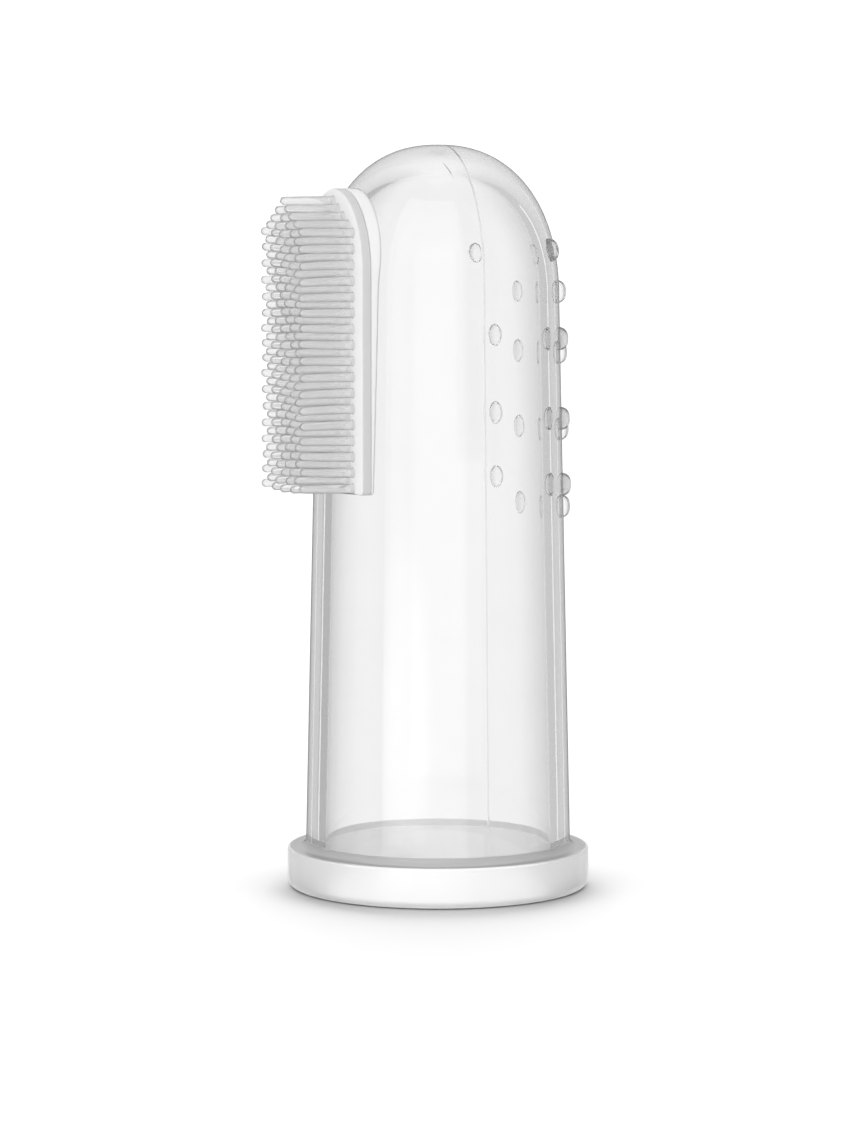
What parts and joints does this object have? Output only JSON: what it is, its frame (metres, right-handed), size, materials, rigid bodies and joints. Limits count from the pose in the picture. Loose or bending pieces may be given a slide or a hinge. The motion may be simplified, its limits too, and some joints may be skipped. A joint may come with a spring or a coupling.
{
  "type": "finger toothbrush for pets",
  "caption": "Soft clear silicone finger thimble with a collar, a raised pad of round-tipped bristles on one side and small massage nubs on the other, for brushing a pet's teeth.",
  "frame": {"origin": "centre of the open mouth, in the plane that the collar stands on", "axes": "+Z along the sleeve to its closed tip, -X the way the bristles point, XZ the plane of symmetry"},
  "size_m": [0.0259, 0.0244, 0.06],
  "materials": {
    "clear_silicone": "clear, glossy",
    "bristle_silicone": "clear, glossy",
    "nub_silicone": "clear, glossy"
  },
  "bodies": {
    "root": {"finger_sleeve": "clear_silicone", "base_collar": "clear_silicone", "brush_pad": "clear_silicone", "bristle_column_1": "bristle_silicone", "bristle_column_2": "bristle_silicone", "bristle_column_3": "bristle_silicone", "bristle_column_4": "bristle_silicone", "bristle_column_5": "bristle_silicone", "bristle_column_6": "bristle_silicone", "bristle_column_7": "bristle_silicone", "bristle_column_8": "bristle_silicone", "bristle_column_9": "bristle_silicone", "nub_column_1": "nub_silicone", "nub_column_2": "nub_silicone", "nub_column_3": "nub_silicone", "nub_column_4": "nub_silicone"}
  },
  "joints": []
}
